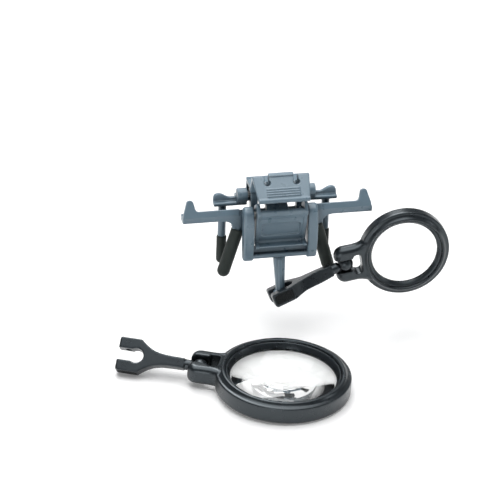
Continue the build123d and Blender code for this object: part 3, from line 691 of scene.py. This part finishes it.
def forkPadPiece(name, body, ball, along, across, side, tree):
    s = forkPad
    length, width, corner, thick = (s[key] * mm for key in ("length", "width", "corner", "thick"))
    verts, faces = roundedPlate(length, width, corner, s["cornerSteps"], thick)
    plate = newPiece(name + "Plate", verts, faces, padRubber)
    modifier = plate.modifiers.new("ribs", "NODES")
    modifier.node_group = tree
    pitch = (s["length"] - 2 * s["corner"]) / (s["ribs"] - 1)
    setInput(modifier, "First", -(s["ribs"] - 1) / 2 * pitch * mm)
    setInput(modifier, "Pitch", pitch * mm)
    setInput(modifier, "Radius", s["ribRadius"] * mm)
    setInput(modifier, "Length", s["ribLength"] * mm)
    setInput(modifier, "Height", (s["thick"] - s["ribSunk"]) * mm)
    setInput(modifier, "Count", s["ribs"])
    setInput(modifier, "Finish", padRubber)
    mesh = appliedMesh(plate, name)
    outward = across * side
    middle = ball + along * ((-s["reach"] - s["tip"] + s["start"] + s["length"] / 2) * mm)
    middle = middle + outward * ((s["face"] - s["recess"] + s["gap"]) * mm)
    mesh.transform(placedBy(along, outward.cross(along), outward, middle))
    tidyMesh(mesh)
    mesh.shade_smooth()
    mesh.set_sharp_from_angle(angle=math.radians(s["sharpAngle"]))
    return finishPiece(addObject(name, mesh), body)


def forkPads():
    tree = ribTree()
    along = Vector(hinges["loupe_twist"]["axis"]).normalized()
    across = Vector(hinges["arm_swivel"]["axis"]).normalized()
    ball = Vector(hinges["loupe_twist"]["pos_m"])
    forkPadPiece("loupeForkPadFront", "swivel_arm", ball, along, across, -1, tree)
    forkPadPiece("loupeForkPadBack", "swivel_arm", ball, along, across, 1, tree)
    along = -Vector(hinges["spare_twist"]["axis"]).normalized()
    level = Vector((0, 0, 1)).cross(along).normalized()
    turn = math.radians(forkPad["twist"])
    across = level * math.cos(turn) + along.cross(level) * math.sin(turn)
    ball = Vector(hinges["spare_twist"]["pos_m"])
    forkPadPiece("spareForkPadUpper", "spare_fork", ball, along, across, 1, tree)
    forkPadPiece("spareForkPadLower", "spare_fork", ball, along, across, -1, tree)


forkPads()
print("fork pads made")


studio = {
    "floorLevel": -34.0 * mm,
    "floorSize": 3.0,
    "floorColour": (0.90, 0.90, 0.90),
    "floorGlow": 0.14,  # what the camera, mirrors and lenses see added to the lit floor
    "floorFade": (0.14, 0.60),  # metres from the middle
    "floorRoughness": 0.8,
    "skyColour": (0.96, 0.98, 1.0),
    "skyStrength": 0.20,
    "mirrorSky": (0.86, 0.94, 1.0),
    "mirrorStrength": 0.20,
    "topLamp": {"place": (-0.06, 0.02, 0.75), "size": 0.90, "power": 7.6},
    "backLamp": {"place": (0.0, 0.72, 0.80), "size": 0.40, "power": 4.6},
    "frontLamp": {"place": (-0.38, -0.80, 0.08), "size": 0.34, "power": 1.3},
    "sideLamp": {"place": (0.75, -0.20, 0.30), "size": 0.20, "power": 0.4},
    "lampAim": (0, -0.01, -0.01),
}


def seenBy(tree, kinds):
    # one for these kinds of ray, nothing for the rest
    rays = tree.nodes.new("ShaderNodeLightPath")
    seen = rays.outputs[kinds[0]]
    for kind in kinds[1:]:
        seen = joinedValues(tree, "MAXIMUM", seen, rays.outputs[kind])
    return seen


def evenGlow(tree, colour, strength):
    node = tree.nodes.new("ShaderNodeBackground")
    node.inputs["Color"].default_value = (*colour, 1)
    node.inputs["Strength"].default_value = strength
    return node.outputs[0]


def mixedGlow(tree, factor, under, over):
    node = tree.nodes.new("ShaderNodeMixShader")
    for socket, value in zip(node.inputs, (factor, under, over)):
        link(tree, value, socket)
    return node.outputs[0]


def buildWorld():
    world = bpy.data.worlds.new("paleStudio")
    scene.world = world
    world.use_nodes = True
    tree = world.node_tree
    tree.nodes.remove(tree.nodes["Background"])
    sky = evenGlow(tree, studio["skyColour"], studio["skyStrength"])
    mirrored = evenGlow(tree, studio["mirrorSky"], studio["mirrorStrength"])
    backdrop = evenGlow(tree, (1, 1, 1), 1.0)
    lit = mixedGlow(tree, seenBy(tree, ["Is Glossy Ray"]), sky, mirrored)
    clear = seenBy(tree, ["Is Camera Ray", "Is Transmission Ray"])
    surface = mixedGlow(tree, clear, lit, backdrop)
    link(tree, surface, tree.nodes["World Output"].inputs["Surface"])


def buildFloor():
    size, level = studio["floorSize"] / 2, studio["floorLevel"]
    mesh = bpy.data.meshes.new("floor")
    corners = [(-size, -size, level), (size, -size, level), (size, size, level), (-size, size, level)]
    mesh.from_pydata(corners, [], [(0, 1, 2, 3)])
    floor = addObject("floor", mesh)
    material, tree, bsdf = newMaterial("whiteTable")
    bsdf.inputs["Base Color"].default_value = (*studio["floorColour"], 1)
    bsdf.inputs["Roughness"].default_value = studio["floorRoughness"]
    bsdf.inputs["Specular IOR Level"].default_value = 0.0
    bsdf.inputs["Emission Color"].default_value = (1, 1, 1, 1)
    # away from the object the table turns into the white of the backdrop
    where = tree.nodes.new("ShaderNodeTexCoord")
    away = tree.nodes.new("ShaderNodeVectorMath")
    away.operation = "LENGTH"
    link(tree, where.outputs["Object"], away.inputs[0])
    glow = spread(tree, away.outputs["Value"], studio["floorGlow"], 1.0, *studio["floorFade"])
    pale = seenBy(tree, ["Is Camera Ray", "Is Transmission Ray", "Is Glossy Ray"])
    link(tree, joinedValues(tree, "MULTIPLY", glow, pale), bsdf.inputs["Emission Strength"])
    mesh.materials.append(material)


def addLamp(name, settings):
    data = bpy.data.lights.new(name, "AREA")
    data.shape = "SQUARE"
    data.size = settings["size"]
    data.energy = settings["power"]
    lamp = addObject(name, data)
    lamp.location = settings["place"]
    aim = Vector(studio["lampAim"]) - Vector(settings["place"])
    lamp.rotation_euler = aim.to_track_quat("-Z", "Y").to_euler()


buildWorld()
buildFloor()
for lampName in ("topLamp", "backLamp", "frontLamp", "sideLamp"):
    addLamp(lampName, studio[lampName])

cameraSettings = {
    "azimuth": -12.75,
    "elevation": 28.75,
    "roll": 1.9,
    "distance": 1000 * mm,
    "focal": 257.0,
    "sensor": 36.0,
    "nearest": 0.01,
    "originPixel": (276.0, 213.6),
    "pixelsPerMetre": 3570.0,
    "frame": 500,
}


def buildCamera():
    s = cameraSettings
    azimuth, elevation, roll = (math.radians(s[k]) for k in ("azimuth", "elevation", "roll"))
    level = Vector((math.sin(azimuth), -math.cos(azimuth), 0)) * math.cos(elevation)
    outward = level + Vector((0, 0, math.sin(elevation)))
    place = outward * s["distance"]

    def axes(forward):
        right = forward.cross(Vector((0, 0, 1))).normalized()
        up = right.cross(forward)
        return right * math.cos(roll) + up * math.sin(roll), up * math.cos(roll) - right * math.sin(roll)

    right, up = axes(-outward)
    half = s["frame"] / 2
    target = right * ((half - s["originPixel"][0]) / s["pixelsPerMetre"])
    target += up * ((s["originPixel"][1] - half) / s["pixelsPerMetre"])
    forward = (target - place).normalized()
    right, up = axes(forward)
    data = bpy.data.cameras.new("camera")
    data.lens = s["focal"]
    data.sensor_width = s["sensor"]
    data.clip_start = s["nearest"]
    camera = addObject("camera", data)
    camera.matrix_world = placedBy(right, up, -forward, place)
    scene.camera = camera


buildCamera()
scene.view_settings.view_transform = "Standard"
print("studio set")
